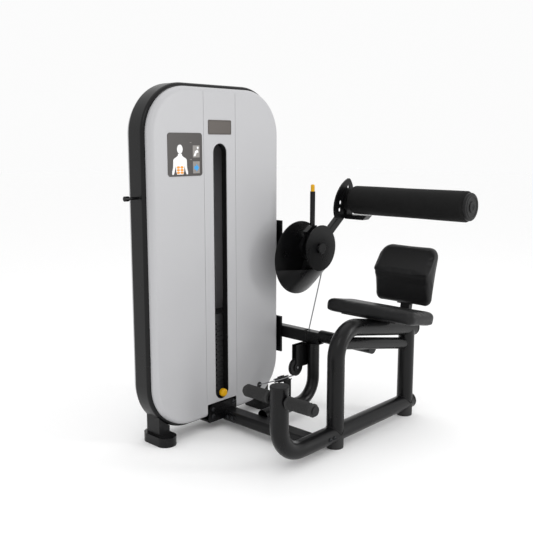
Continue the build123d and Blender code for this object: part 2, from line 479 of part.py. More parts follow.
# roller bracket, shaft, core, foam and ends
BRACKET_X = QUAD_X + QUAD_T + GAP
bracket = rod("x", BRACKET_X, BRACKET_X + 10, 58, roller_y, roller_z)
bracket += box(BRACKET_X, BRACKET_X + 10, roller_y - 24, roller_y + 24, roller_z - 96, roller_z)
shelf = box(BRACKET_X, ROLLER_X0 + 96, roller_y - 24, roller_y + 24, roller_z - 96, roller_z - FOAM_R - 4)
shelf = chamfer(shelf.edges().filter_by(Axis.Y).group_by(Axis.X)[-1].sort_by(Axis.Z)[0:1], 21)
bracket += shelf
ROLLER_SHAFT_R, CORE_R = 12.5, 24.0
ROLLER_X1 = ROLLER_X0 + ROLLER_LENGTH
bracket -= rod("x", BRACKET_X - 1, BRACKET_X + 11, ROLLER_SHAFT_R, roller_y, roller_z)
put("roller_bracket", bracket)
put("roller_shaft", rod("x", BRACKET_X, ROLLER_X1 - 6, ROLLER_SHAFT_R, roller_y, roller_z))
put("roller_core", rod("x", ROLLER_X0, ROLLER_X1 - 8, CORE_R, roller_y, roller_z)
    - rod("x", ROLLER_X0 - 1, ROLLER_X1, ROLLER_SHAFT_R + RUN, roller_y, roller_z))
foam = rod("x", ROLLER_X0 + 6, ROLLER_X1 - 14, FOAM_R, roller_y, roller_z)
foam = fillet(foam.edges().filter_by(GeomType.CIRCLE), 12)
foam -= rod("x", ROLLER_X0, ROLLER_X1, CORE_R + GAP, roller_y, roller_z)
put("roller_foam", foam)
inner_ring = rod("x", ROLLER_X0, ROLLER_X0 + 5.9, 56, roller_y, roller_z)
inner_ring -= rod("x", ROLLER_X0 - 1, ROLLER_X0 + 7, CORE_R + GAP, roller_y, roller_z)
end_cap = rod("x", ROLLER_X1 - 13.9, ROLLER_X1, 63, roller_y, roller_z)
end_cap = fillet(end_cap.edges().group_by(Axis.X)[-1], 8)
end_cap -= rod("x", ROLLER_X1 - 20, ROLLER_X1 - 8 + GAP, CORE_R + GAP, roller_y, roller_z)
end_cap -= rod("x", ROLLER_X1 - 20, ROLLER_X1 - 5, ROLLER_SHAFT_R + 0.4, roller_y, roller_z)
put("roller_end_caps", Compound([inner_ring, end_cap]))

# index lever: a rod that stands on the cam, with a bright tip
LEVER_X, LEVER_R, LEVER_TOP = -216.0, 12.5, 1108.0
lever_base = PIVOT_Z + 108
BLOCK_BACK, BLOCK_FRONT = 56.0, 20.0
block_outline = [(PIVOT_Y + BLOCK_FRONT, PIVOT_Z), (PIVOT_Y + BLOCK_FRONT, lever_base),
                 (PIVOT_Y - 16, lever_base), (PIVOT_Y - BLOCK_BACK, lever_base - 26),
                 (PIVOT_Y - BLOCK_FRONT, PIVOT_Z)]
lever_block = plate_x(make_face(Polyline(*block_outline, close=True)), LEVER_X - 12.9, 25.8)
put("arm_tube", arm + hub + rod("x", LEVER_X - 12.9, ARM_X - ARM_W / 2, ARM_HUB_R + 8, PIVOT_Y, PIVOT_Z)
    + lever_block
    - rod("x", LEVER_X - 20, LEVER_X + 20, SHAFT_R + RUN, PIVOT_Y, PIVOT_Z)
    - rod("z", lever_base - 22, lever_base + 1, 8 + RUN, LEVER_X, PIVOT_Y))
put("index_lever", rod("z", lever_base + 0.4, LEVER_TOP, LEVER_R, LEVER_X, PIVOT_Y)
    + rod("z", lever_base - 20, lever_base + 1, 8, LEVER_X, PIVOT_Y))
tip = rod("z", LEVER_TOP + GAP, LEVER_TOP + 34, 9.5, LEVER_X, PIVOT_Y)
put("lever_tip", fillet(tip.edges().group_by(Axis.Z)[-1], 6))

# ---- seat and back pad --------------------------------------------------------------
SEAT_FRONT, SEAT_DEPTH, SEAT_WIDTH, SEAT_THICK = 202.0, 214.0, 486.0, 56.0
PAN_T = 8.0
slope = Rot(-RAIL_SLOPE, 0, 0)
tilt = math.radians(RAIL_SLOPE)
rail_top_front = Vector(SEAT_X, SEAT_FRONT, rail_z(SEAT_FRONT) + TUBE_R / math.cos(tilt))


def on_seat(depth, height):
    """A location on the rail's top line: depth runs back along the rail, height square to it."""
    return Pos(*rail_top_front) * slope * Pos(0, depth, height)


pan = on_seat(SEAT_DEPTH / 2, 0.3 + PAN_T / 2) * Box(300, SEAT_DEPTH - 40, PAN_T)
put("seat_pan", pan)
seat = Box(SEAT_WIDTH, SEAT_DEPTH, SEAT_THICK)
seat = fillet(seat.edges().filter_by(Axis.Z), 34)
seat = fillet(seat.edges().group_by(Axis.Z)[-1], 16)
put("seat_pad", on_seat(SEAT_DEPTH / 2, 0.6 + PAN_T + SEAT_THICK / 2) * seat)

# The back pad's outline, in Y and Z from the crease's distance and the pad's foot.
BACK_HALF, BACK_FRONT, BACK_BOTTOM = 155.0, 478.0, 574.0
BACK_FOOT_DEPTH, BACK_CREASE_Z, BACK_CREASE_DEPTH = 46.0, 160.0, 82.0
back_outline = [(28, 0), (16, 108), (0, BACK_CREASE_Z), (84, 276), (112, 264),
                (BACK_CREASE_DEPTH, BACK_CREASE_Z), (BACK_FOOT_DEPTH, 0)]
back_line = Polyline(*[(BACK_FRONT + a, BACK_BOTTOM + b) for a, b in back_outline], close=True)
back_profile = make_face(back_line)
back = plate_x(back_profile, SEAT_X - BACK_HALF, 2 * BACK_HALF)
back = fillet(back.edges().filter_by(Axis.X), 10)
put("back_pad", back)
back_lean = math.degrees(math.atan2(BACK_CREASE_DEPTH - BACK_FOOT_DEPTH, BACK_CREASE_Z))
behind_pad = Pos(SEAT_X, BACK_FRONT + BACK_FOOT_DEPTH + 0.6, BACK_BOTTOM) * Rot(-back_lean, 0, 0)
support = behind_pad * Pos(0, 5, 70) * Box(80, 10, 150)
post = behind_pad * Pos(0, 24, -10) * Box(50, 28, 250)
put("back_pad_bracket", support + (post - upper_tool))

put("front_upright_and_rail", front_frame)
put("base_rail_and_post", base_rail)
put("rear_upright", rear_upright)
put("lower_rail", lower_rail)
put("base_cross_tube", cross_tube)
put("side_beam", side_beam)
put("bent_brace", brace)

# pulley axles and their brackets
put("pulley_axles", Compound([axle(i, AXLE_R, PULLEY_HALF + 7) for i in range(1, 6)]))
floor_centre, _ = corner_frame(2)
in_hoop = plate_x(tower_outline(HOOP_WALL + GAP), HOOP_BACK, HOOP_DEPTH)
arm_centre, _ = corner_frame(1)
arm_outline = Pos(arm_centre.Y, arm_centre.Z) * Circle(24)
plate_y0, plate_y1 = arm_centre.Y - 10, BEAM_Y + 2
plate_top = BEAM_Z - BEAM_H / 2 - GAP
arm_outline += Pos((plate_y0 + plate_y1) / 2, (arm_centre.Z + plate_top) / 2) * Rectangle(
    plate_y1 - plate_y0, plate_top - arm_centre.Z)
brackets = []
for x in (CAM_X - PULLEY_HALF - 6, CAM_X + PULLEY_HALF + 1):
    brackets.append(plate_x(arm_outline, x, 5) - brace_tool - axle(1, AXLE_R + GAP, 60))
high_cheek = cheeks(2, Vector(4, 0, 1), 36)[0]
low_cheek = cheeks(2, Vector(44, 0, 17), 44)[1]
side_plate = box(BRACE_X - BRACE_R - 10, BRACE_X - BRACE_R - GAP,
                 floor_centre.Y - 22, floor_centre.Y + 22, 60, 194)
brackets += [high_cheek, low_cheek, side_plate]
brackets += [c & in_hoop for c in cheeks(3, Vector(0, 0, -60), 40)]
brackets += [c & in_hoop for c in cheeks(4, Vector(0, 0, 140), 44)]
brackets += [c & in_hoop for c in cheeks(5, Vector(0, 0, 140), 44)]
put("pulley_brackets", Compound(brackets))

# ---- into the part's own frame and out ----------------------------------------------
boxes = [shape.bounding_box() for shape in NODES.values()]
low = Vector(min(b.min.X for b in boxes), min(b.min.Y for b in boxes), min(b.min.Z for b in boxes))
high = Vector(max(b.max.X for b in boxes), max(b.max.Y for b in boxes), max(b.max.Z for b in boxes))
SHIFT = Vector(-(low.X + high.X) / 2, -(low.Y + high.Y) / 2, 0)
print("size", high - low, "lowest", round(low.Z, 3), "shift", SHIFT, "nodes", len(NODES))

for name, shape in NODES.items():
    export_step(Pos(SHIFT) * shape, f"parts/{name}.step")
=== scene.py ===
"""Looks of the seated abdominal crunch machine: finishes for the steel, the shrouds and the stack,
upholstered pads, the foam roller, grips, screws, weld beads and the printed plates.
"""
import math
import bmesh
import bpy
from mathutils import Matrix, Vector
from mathutils.bvhtree import BVHTree


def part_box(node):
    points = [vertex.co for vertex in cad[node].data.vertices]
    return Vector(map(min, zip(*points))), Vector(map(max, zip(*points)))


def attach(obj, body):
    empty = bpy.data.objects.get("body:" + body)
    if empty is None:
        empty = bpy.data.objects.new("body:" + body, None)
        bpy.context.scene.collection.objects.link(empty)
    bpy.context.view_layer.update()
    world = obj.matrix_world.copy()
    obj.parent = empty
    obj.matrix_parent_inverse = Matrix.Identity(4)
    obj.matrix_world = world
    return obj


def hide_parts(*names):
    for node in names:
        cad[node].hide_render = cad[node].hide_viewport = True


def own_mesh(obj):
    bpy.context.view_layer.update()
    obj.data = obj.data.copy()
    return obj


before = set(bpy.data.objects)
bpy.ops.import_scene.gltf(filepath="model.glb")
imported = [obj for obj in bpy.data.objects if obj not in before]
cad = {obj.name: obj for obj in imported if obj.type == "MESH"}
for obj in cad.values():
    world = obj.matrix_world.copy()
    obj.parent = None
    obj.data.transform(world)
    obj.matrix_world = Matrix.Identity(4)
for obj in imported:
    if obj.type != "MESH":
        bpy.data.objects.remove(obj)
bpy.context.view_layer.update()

# ---- powder-coated steel frame ------------------------------------------------------
# Round and rectangular steel tube, plates and brackets, bent, welded and powder coated satin
# black. The coat has a faint orange peel and its gloss drifts a little from place to place.


def srgb(code):
    """A hex colour as linear red, green, blue and alpha."""
    values = [int(code[i:i + 2], 16) / 255 for i in (1, 3, 5)]
    return [v / 12.92 if v <= 0.04045 else ((v + 0.055) / 1.055) ** 2.4 for v in values] + [1.0]


def add(tree, kind, inputs=None, **settings):
    """Adds one node; settings are its properties, inputs are values or links for its sockets."""
    made = tree.nodes.new(kind)
    for key, value in settings.items():
        setattr(made, key, value)
    for key, value in (inputs or {}).items():
        if isinstance(value, bpy.types.NodeSocket):
            tree.links.new(value, made.inputs[key])
        else:
            made.inputs[key].default_value = value
    return made


def blank(name):
    """A new material with its tree, its shader and its object coordinates."""
    material = bpy.data.materials.new(name)
    material.use_nodes = True
    tree = material.node_tree
    place = add(tree, "ShaderNodeTexCoord").outputs["Object"]
    return material, tree, tree.nodes["Principled BSDF"], place


def between(tree, factor, low, high):
    """Maps a 0 to 1 value to the range low to high."""
    made = add(tree, "ShaderNodeMapRange", {"Value": factor, "To Min": low, "To Max": high})
    return made.outputs["Result"]


def tinted(tree, factor, dark, light):
    """Mixes two hex colours by a 0 to 1 value."""
    mix = add(tree, "ShaderNodeMix", {"Factor": factor}, data_type="RGBA")
    mix.inputs["A"].default_value = srgb(dark)
    mix.inputs["B"].default_value = srgb(light)
    return mix.outputs["Result"]


def bump(tree, shader, height, strength, distance):
    made = add(tree, "ShaderNodeBump", {"Height": height, "Strength": strength, "Distance": distance})
    tree.links.new(made.outputs["Normal"], shader.inputs["Normal"])


def powder_coat(name, dark, light, rough_low, rough_high):
    """Satin powder coat: peel cells about 3 mm wide, gloss patches about 100 mm wide."""
    material, tree, shader, place = blank(name)
    peel = add(tree, "ShaderNodeTexNoise", {"Vector": place, "Scale": 330.0, "Detail": 2.0})
    patches = add(tree, "ShaderNodeTexNoise", {"Vector": place, "Scale": 9.0, "Detail": 3.0})
    colour = tinted(tree, patches.outputs["Fac"], dark, light)
    tree.links.new(colour, shader.inputs["Base Color"])
    rough = between(tree, patches.outputs["Fac"], rough_low, rough_high)
    tree.links.new(rough, shader.inputs["Roughness"])
    shader.inputs["IOR"].default_value = 1.5
    shader.inputs["Specular IOR Level"].default_value = 0.24
    bump(tree, shader, peel.outputs["Fac"], 0.22, 0.0006)
    return material


def coat(material, *names):
    """Gives CAD nodes their finish."""
    for name in names:
        mesh = cad[name].data
        mesh.materials.clear()
        mesh.materials.append(material)


satin_black = powder_coat("satin_black_powder_coat", "#080809", "#0F0F10", 0.22, 0.36)
coat(satin_black, "tower_hoop", "tower_feet", "accessory_peg", "guide_crossbar", "saddle_bracket",
     "pivot_bracket", "guard_back_plate", "guard_front_cover", "cam", "quadrant_plate", "roller_bracket",
     "arm_tube", "index_lever", "seat_pan", "back_pad_bracket", "front_upright_and_rail",
     "base_rail_and_post", "rear_upright", "lower_rail", "base_cross_tube", "side_beam", "bent_brace",
     "pulley_brackets", "foot_bar")

# ---- weld beads ---------------------------------------------------------------------
# Each tube joint is closed by a fillet weld that was painted over: a rope of overlapping ripples
# about 5 mm wide that follows the line where the two tubes meet.


def group_input(tree, name, kind, value=None):
    socket = tree.interface.new_socket(name, in_out="INPUT", socket_type=kind)
    if value is not None:
        socket.default_value = value
    return socket


def bead_tree():
    """Sweeps a round bead along a path, thicker and thinner by ripples."""
    tree = bpy.data.node_groups.new("bead along a path", "GeometryNodeTree")
    group_input(tree, "Geometry", "NodeSocketGeometry")
    group_input(tree, "Bead Radius", "NodeSocketFloat", 0.0025)
    group_input(tree, "Ripple Depth", "NodeSocketFloat", 0.18)
    group_input(tree, "Ripple Spacing", "NodeSocketFloat", 0.003)
    group_input(tree, "Step", "NodeSocketFloat", 0.0015)
    group_input(tree, "Finish", "NodeSocketMaterial")
    tree.interface.new_socket("Geometry", in_out="OUTPUT", socket_type="NodeSocketGeometry")
    given = add(tree, "NodeGroupInput").outputs
    curve = add(tree, "GeometryNodeMeshToCurve", {"Mesh": given["Geometry"]})
    even = add(tree, "GeometryNodeResampleCurve", {"Curve": curve.outputs[0], "Length": given["Step"]},
               mode="LENGTH")
    along = add(tree, "GeometryNodeSplineParameter").outputs["Length"]
    turns = add(tree, "ShaderNodeMath", {0: along, 1: given["Ripple Spacing"]}, operation="DIVIDE")
    angle = add(tree, "ShaderNodeMath", {0: turns.outputs[0], 1: 2 * math.pi}, operation="MULTIPLY")
    wave = add(tree, "ShaderNodeMath", {0: angle.outputs[0]}, operation="SINE")
    swell = add(tree, "ShaderNodeMath", {0: wave.outputs[0], 1: given["Ripple Depth"], 2: 1.0},
                operation="MULTIPLY_ADD")
    ring = add(tree, "GeometryNodeCurvePrimitiveCircle",
               {"Resolution": 10, "Radius": given["Bead Radius"]})
    swept = add(tree, "GeometryNodeCurveToMesh",
                {"Curve": even.outputs[0], "Profile Curve": ring.outputs[0]})
    if "Scale" in swept.inputs:
        tree.links.new(swell.outputs[0], swept.inputs["Scale"])
    swept.inputs["Fill Caps"].default_value = True
    smooth = add(tree, "GeometryNodeSetShadeSmooth", {"Geometry": swept.outputs[0]})
    real = add(tree, "GeometryNodeRealizeInstances", {"Geometry": smooth.outputs[0]})
    done = add(tree, "GeometryNodeSetMaterial",
               {"Geometry": real.outputs[0], "Material": given["Finish"]})
    add(tree, "NodeGroupOutput", {"Geometry": done.outputs[0]})
    return tree


def grow(name, mesh, tree, values):
    """Runs a node tree on a mesh and returns the result as a plain mesh object."""
    source = bpy.data.objects.new(name + "_source", mesh)
    bpy.context.scene.collection.objects.link(source)
    modifier = source.modifiers.new("grow", "NODES")
    modifier.node_group = tree
    for socket in tree.interface.items_tree:
        if socket.in_out == "INPUT" and socket.name in values:
            modifier[socket.identifier] = values[socket.name]
    graph = bpy.context.evaluated_depsgraph_get()
    grown = bpy.data.meshes.new_from_object(source.evaluated_get(graph), depsgraph=graph)
    bpy.data.objects.remove(source)
    piece = bpy.data.objects.new(name, grown)
    bpy.context.scene.collection.objects.link(piece)
    return piece


def path_mesh(paths):
    """Lines through each list of points; a closed path repeats its first point at the end."""
    mesh = bpy.data.meshes.new("path")
    points, lines = [], []
    for path in paths:
        closed = (Vector(path[0]) - Vector(path[-1])).length < 1e-7
        ring = path[:-1] if closed else path
        first = len(points)
        points += ring
        lines += [(first + i, first + i + 1) for i in range(len(ring) - 1)]
        if closed:
            lines.append((first + len(ring) - 1, first))
    mesh.from_pydata(points, lines, [])
    return mesh


BEAD = bead_tree()
base_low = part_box("base_rail_and_post")[0]
rear_low, rear_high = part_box("rear_upright")
cross_low, cross_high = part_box("base_cross_tube")
lower_low, lower_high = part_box("lower_rail")
upper_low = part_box("front_upright_and_rail")[0]
tube_radius = (rear_high.x - rear_low.x) / 2
small_radius = (lower_high.x - lower_low.x) / 2
frame_x = (rear_low.x + rear_high.x) / 2
base_axis_z = base_low.z + tube_radius
front_y = upper_low.y + tube_radius
rear_y = (rear_low.y + rear_high.y) / 2
RAIL_SLOPE = math.radians(10.2)
LOWER_SLOPE = math.atan2(0.110, 0.563)      # the lower rail falls 110 mm over its run
BEAD_STEPS = 48


def saddle_line(y):
    """Where an upright stands on the base rail."""
    points = []
    for i in range(BEAD_STEPS + 1):
        turn = 2 * math.pi * i / BEAD_STEPS
        x, dy = tube_radius * math.cos(turn), tube_radius * math.sin(turn)
        points.append((frame_x + x, y + dy, base_axis_z + math.sqrt(max(tube_radius ** 2 - x ** 2, 0))))
    return points


def rail_line(y, side, axis_z):
    """Where the lower rail runs into an upright, on its rear or front side."""
    points = []
    for i in range(BEAD_STEPS + 1):
        turn = 2 * math.pi * i / BEAD_STEPS
        x = small_radius * math.cos(turn)
        dy = side * math.sqrt(tube_radius ** 2 - x ** 2)
        z = axis_z - dy * math.tan(LOWER_SLOPE) + small_radius * math.sin(turn) / math.cos(LOWER_SLOPE)
        points.append((frame_x + x, y + dy, z))
    return points


def cross_line():
    """Where the flat cross tube meets the round base rail."""
    half_y = (cross_high.y - cross_low.y) / 2
    middle_y = (cross_low.y + cross_high.y) / 2
    corners = [(middle_y - half_y, cross_low.z), (middle_y + half_y, cross_low.z),
               (middle_y + half_y, cross_high.z), (middle_y - half_y, cross_high.z)]
    points = []
    for (y0, z0), (y1, z1) in zip(corners, corners[1:] + corners[:1]):
        for i in range(12):
            y, z = y0 + (y1 - y0) * i / 12, z0 + (z1 - z0) * i / 12
            reach = math.sqrt(tube_radius ** 2 - (z - base_axis_z) ** 2)
            points.append((frame_x - reach, y, z))
    return points + points[:1]


# Heights at which the lower rail's axis meets the axes of the two uprights.
lower_axis_front, lower_axis_rear = 0.476, 0.366
welds = grow("frame_weld_beads", path_mesh([
    saddle_line(front_y), saddle_line(rear_y), rail_line(front_y, 1, lower_axis_front),
    rail_line(rear_y, -1, lower_axis_rear), cross_line()]), BEAD,
    {"Bead Radius": 0.0028, "Ripple Depth": 0.2, "Ripple Spacing": 0.0035, "Finish": satin_black})
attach(welds, "frame")

# ---- tower shrouds ------------------------------------------------------------------
# Two shallow covers vacuum formed from light grey ABS sheet, with a fine moulded texture and a
# soft gloss. Faint mottling and hand marks keep the broad face from looking flat.


def formed_abs(name):
    material, tree, shader, place = blank(name)
    cloud = add(tree, "ShaderNodeTexNoise", {"Vector": place, "Scale": 3.0, "Detail": 4.0})
    grain = add(tree, "ShaderNodeTexNoise", {"Vector": place, "Scale": 700.0, "Detail": 1.0})
    colour = tinted(tree, cloud.outputs["Fac"], "#B1B1B3", "#B9B9BB")
    tree.links.new(colour, shader.inputs["Base Color"])
    rough = between(tree, cloud.outputs["Fac"], 0.34, 0.46)
    tree.links.new(rough, shader.inputs["Roughness"])
    shader.inputs["IOR"].default_value = 1.53
    bump(tree, shader, grain.outputs["Fac"], 0.08, 0.0003)
    return material


shroud_grey = formed_abs("light_grey_formed_abs")
coat(shroud_grey, "front_shroud", "rear_shroud")

# ---- moulded black plastic ----------------------------------------------------------
# Slot liner, tube caps, roller caps and the pivot cap are injection moulded from black
# polypropylene with a fine spark-eroded grain.


def moulded_plastic(name, dark, light, rough):
    material, tree, shader, place = blank(name)
    cloud = add(tree, "ShaderNodeTexNoise", {"Vector": place, "Scale": 22.0, "Detail": 3.0})
    grain = add(tree, "ShaderNodeTexVoronoi", {"Vector": place, "Scale": 900.0})
    colour = tinted(tree, cloud.outputs["Fac"], dark, light)
    tree.links.new(colour, shader.inputs["Base Color"])
    dull = between(tree, cloud.outputs["Fac"], rough - 0.05, rough + 0.06)
    tree.links.new(dull, shader.inputs["Roughness"])
    shader.inputs["IOR"].default_value = 1.49
    shader.inputs["Specular IOR Level"].default_value = 0.25
    bump(tree, shader, grain.outputs["Distance"], 0.12, 0.0004)
    return material


black_plastic = moulded_plastic("black_polypropylene", "#0C0C0D", "#131314", 0.48)
coat(black_plastic, "slot_liner", "tube_end_caps", "roller_end_caps", "pivot_cap", "roller_core")
pulley_nylon = moulded_plastic("black_nylon", "#1B1B1C", "#29292A", 0.4)
coat(pulley_nylon, "arm_pulley", "floor_pulley", "tower_exit_pulley", "top_pulley_side",
     "top_pulley_centre")
signal_yellow = moulded_plastic("yellow_abs", "#D09A0C", "#DDA916", 0.36)
coat(signal_yellow, "selector_knob", "lever_tip")

# ---- rubber feet, bumpers and grommet -----------------------------------------------
# Moulded black rubber: dull, slightly dusty, with a shallow mould grain.


def moulded_rubber(name, dark, light):
    material, tree, shader, place = blank(name)
    dust = add(tree, "ShaderNodeTexNoise", {"Vector": place, "Scale": 60.0, "Detail": 6.0})
    grain = add(tree, "ShaderNodeTexVoronoi", {"Vector": place, "Scale": 520.0})
    tree.links.new(tinted(tree, dust.outputs["Fac"], dark, light), shader.inputs["Base Color"])
    tree.links.new(between(tree, dust.outputs["Fac"], 0.62, 0.82), shader.inputs["Roughness"])
    shader.inputs["IOR"].default_value = 1.52
    bump(tree, shader, grain.outputs["Distance"], 0.3, 0.0005)
    return material


black_rubber = moulded_rubber("black_rubber", "#151515", "#222222")
coat(black_rubber, "rubber_feet", "stack_bumpers", "cable_grommet")

# ---- guide rods, shafts and bearings ------------------------------------------------
# Guide rods and stem are hard-chromed bar, polished, with faint drawn lines along them; shafts,
# axles and bearings are turned and ground steel.


def bright_metal(name, tone, rough_low, rough_high, stretch):
    material, tree, shader, place = blank(name)
    spread = add(tree, "ShaderNodeMapping", {"Vector": place, "Scale": stretch})
    lines = add(tree, "ShaderNodeTexNoise", {"Vector": spread.outputs[0], "Scale": 60.0, "Detail": 3.0})
    shader.inputs["Base Color"].default_value = srgb(tone)
    shader.inputs["Metallic"].default_value = 1.0
    rough = between(tree, lines.outputs["Fac"], rough_low, rough_high)
    tree.links.new(rough, shader.inputs["Roughness"])
    bump(tree, shader, lines.outputs["Fac"], 0.05, 0.0002)
    return material


hard_chrome = bright_metal("hard_chrome", "#C9CACC", 0.08, 0.2, (14.0, 14.0, 0.3))
coat(hard_chrome, "guide_rods", "selector_stem", "selector_pin")
turned_steel = bright_metal("turned_steel", "#9A9B9E", 0.28, 0.42, (14.0, 1.0, 1.0))
coat(turned_steel, "roller_shaft", "pivot_shaft", "pivot_bearings", "pulley_axles")

# ---- weight stack -------------------------------------------------------------------
# Cast iron plates, shot blasted and painted satin black: a coarse skin with rounded edges.


def cast_iron(name):
    material, tree, shader, place = blank(name)
    skin = add(tree, "ShaderNodeTexNoise",
               {"Vector": place, "Scale": 240.0, "Detail": 5.0, "Roughness": 0.6})
    wear = add(tree, "ShaderNodeTexNoise", {"Vector": place, "Scale": 16.0, "Detail": 4.0})
    tree.links.new(tinted(tree, wear.outputs["Fac"], "#1D1D1E", "#2C2C2D"), shader.inputs["Base Color"])
    tree.links.new(between(tree, skin.outputs["Fac"], 0.36, 0.6), shader.inputs["Roughness"])
    bump(tree, shader, skin.outputs["Fac"], 0.35, 0.0009)
    return material


coat(cast_iron("painted_cast_iron"), "weight_plates", "bottom_plate", "stack_top_plate")

# ---- cable --------------------------------------------------------------------------
# Steel cable under a clear grey nylon jacket: smooth and glossy, with the strands showing
# through as a slight twist.


def cable_jacket(name):
    material, tree, shader, place = blank(name)
    spread = add(tree, "ShaderNodeMapping", {"Vector": place, "Rotation": (0.5, 0.4, 0)})
    twist = add(tree, "ShaderNodeTexWave",
                {"Vector": spread.outputs[0], "Scale": 90.0, "Distortion": 0.4})
    tree.links.new(tinted(tree, twist.outputs["Fac"], "#77777A", "#97979A"), shader.inputs["Base Color"])
    shader.inputs["Roughness"].default_value = 0.3
    shader.inputs["IOR"].default_value = 1.53
    bump(tree, shader, twist.outputs["Fac"], 0.2, 0.0004)
    return material


coat(cable_jacket("nylon_cable_jacket"), "drive_cable", "stack_cable", "cam_cable")
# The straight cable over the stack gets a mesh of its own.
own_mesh(cad["stack_cable"])

# ---- screws -------------------------------------------------------------------------
# Button-head socket screws on thin washers, zinc plated and blackened, hold the flanges, the
# saddle, the cross tube and the base rail, and one sits in the roller's end cap. One screw is drawn and
# set at each hole.


def lathe(name, profile, steps, socket_rows=()):
    """Turns (radius, height) points round Z; rows named in socket_rows are six sided."""
    shape = bmesh.new()
    rows = []
    for row, (radius, height) in enumerate(profile):
        ring = []
        for i in range(steps):
            turn = 2 * math.pi * i / steps
            flat = 1.0
            if row in socket_rows:
                flat = math.cos(math.pi / 6) / math.cos((turn % (math.pi / 3)) - math.pi / 6)
            reach = radius * flat
            ring.append(shape.verts.new((reach * math.cos(turn), reach * math.sin(turn), height)))
        rows.append(ring)
    for lower, upper in zip(rows, rows[1:]):
        for i in range(steps):
            j = (i + 1) % steps
            shape.faces.new((lower[i], lower[j], upper[j], upper[i]))
    shape.faces.new(list(reversed(rows[0])))
    shape.faces.new(rows[-1])
    bmesh.ops.recalc_face_normals(shape, faces=shape.faces)
    mesh = bpy.data.meshes.new(name)
    shape.to_mesh(mesh)
    shape.free()
    return mesh


def screw_tree():
    """Sets one screw at each point, its head facing along the point's aim."""
    tree = bpy.data.node_groups.new("screws at holes", "GeometryNodeTree")
    group_input(tree, "Geometry", "NodeSocketGeometry")
    group_input(tree, "Screw", "NodeSocketObject")
    group_input(tree, "Size", "NodeSocketFloat", 1.0)
    group_input(tree, "Turn Seed", "NodeSocketInt", 4)
    group_input(tree, "Finish", "NodeSocketMaterial")
    tree.interface.new_socket("Geometry", in_out="OUTPUT", socket_type="NodeSocketGeometry")
    given = add(tree, "NodeGroupInput").outputs
    screw = add(tree, "GeometryNodeObjectInfo", {"Object": given["Screw"]})
    aim = add(tree, "GeometryNodeInputNamedAttribute", {"Name": "aim"}, data_type="FLOAT_VECTOR")
    face = add(tree, "FunctionNodeAlignRotationToVector", {"Vector": aim.outputs[0]}, axis="Z")
    spin = add(tree, "FunctionNodeRandomValue", {"Seed": given["Turn Seed"]}, data_type="FLOAT")
    twist = add(tree, "FunctionNodeAxisAngleToRotation", {"Angle": spin.outputs[1]})
    turned = add(tree, "FunctionNodeRotateRotation",
                 {"Rotation": face.outputs[0], "Rotate By": twist.outputs[0]}, rotation_space="LOCAL")
    placed = add(tree, "GeometryNodeInstanceOnPoints", {
        "Points": given["Geometry"], "Instance": screw.outputs["Geometry"], "Rotation": turned.outputs[0],
        "Scale": given["Size"]})
    real = add(tree, "GeometryNodeRealizeInstances", {"Geometry": placed.outputs[0]})
    done = add(tree, "GeometryNodeSetMaterial",
               {"Geometry": real.outputs[0], "Material": given["Finish"]})
    add(tree, "NodeGroupOutput", {"Geometry": done.outputs[0]})
    return tree


# Radius and height of the washer and the button head, then of the socket in it.
M8_HEAD = [(0.0090, 0.0), (0.0090, 0.0012), (0.0072, 0.0013), (0.0070, 0.0026), (0.0060, 0.0043),
           (0.0046, 0.0052), (0.0034, 0.0054), (0.0033, 0.0026), (0.0015, 0.0024)]
screw_mesh = lathe("screw", M8_HEAD, 24, socket_rows=(6, 7))
screw_pattern = bpy.data.objects.new("screw_pattern", screw_mesh)
bpy.context.scene.collection.objects.link(screw_pattern)
SCREWS = screw_tree()
blackened_steel = bright_metal("blackened_zinc", "#3A3B3D", 0.3, 0.45, (1.0, 1.0, 1.0))


def screws(name, body, holes, size=1.0):
    """A group of screws at (place, aim) pairs on one body."""
    mesh = bpy.data.meshes.new(name + "_holes")
    mesh.from_pydata([place for place, _ in holes], [], [])
    aims = mesh.attributes.new("aim", "FLOAT_VECTOR", "POINT")
    aims.data.foreach_set("vector", [value for _, aim in holes for value in aim])
    piece = grow(name, mesh, SCREWS, {"Screw": screw_pattern, "Size": size, "Finish": blackened_steel})
    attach(piece, body)
    return piece


flange_low, flange_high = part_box("side_beam")
pivot_low, pivot_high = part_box("pivot_bracket")
shroud_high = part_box("front_shroud")[1]
FLANGE_THICK = 0.010
flange_y = pivot_low.y + FLANGE_THICK
flange_x = (pivot_low.x + 0.022, shroud_high.x - 0.016)
EDGE = 0.026
screws("flange_screws", "frame", [((x, flange_y, z), (0, 1, 0)) for x in flange_x for z in (
    pivot_low.z + EDGE, pivot_high.z - EDGE, flange_low.z + EDGE, flange_high.z - EDGE)], 1.25)

# ---- saddle, base and brace screws --------------------------------------------------
# M10 screws through the saddle plate at the foot of the tower, the base rail and the brace.
saddle_low, saddle_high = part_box("saddle_bracket")
screws("saddle_screws", "frame", [
    ((saddle_high.x, saddle_low.y + 0.022, saddle_low.z + 0.028), (1, 0, 0)),
    ((saddle_high.x, saddle_high.y - 0.022, saddle_low.z + 0.066), (1, 0, 0)),
    ((saddle_high.x, saddle_low.y + 0.022, saddle_low.z + 0.062), (1, 0, 0))], 1.35)
cross_screw_z = (cross_low.z + cross_high.z) / 2
screws("cross_tube_screws", "frame", [
    ((cross_low.x + 0.030, cross_low.y, cross_screw_z), (0, -1, 0)),
    ((cross_low.x + 0.062, cross_low.y, cross_screw_z), (0, -1, 0))], 1.1)
screws("base_rail_screws", "frame", [
    ((frame_x + tube_radius, front_y - 0.052, base_axis_z), (1, 0, 0)),
    ((frame_x + tube_radius, front_y - 0.082, base_axis_z), (1, 0, 0))], 1.15)

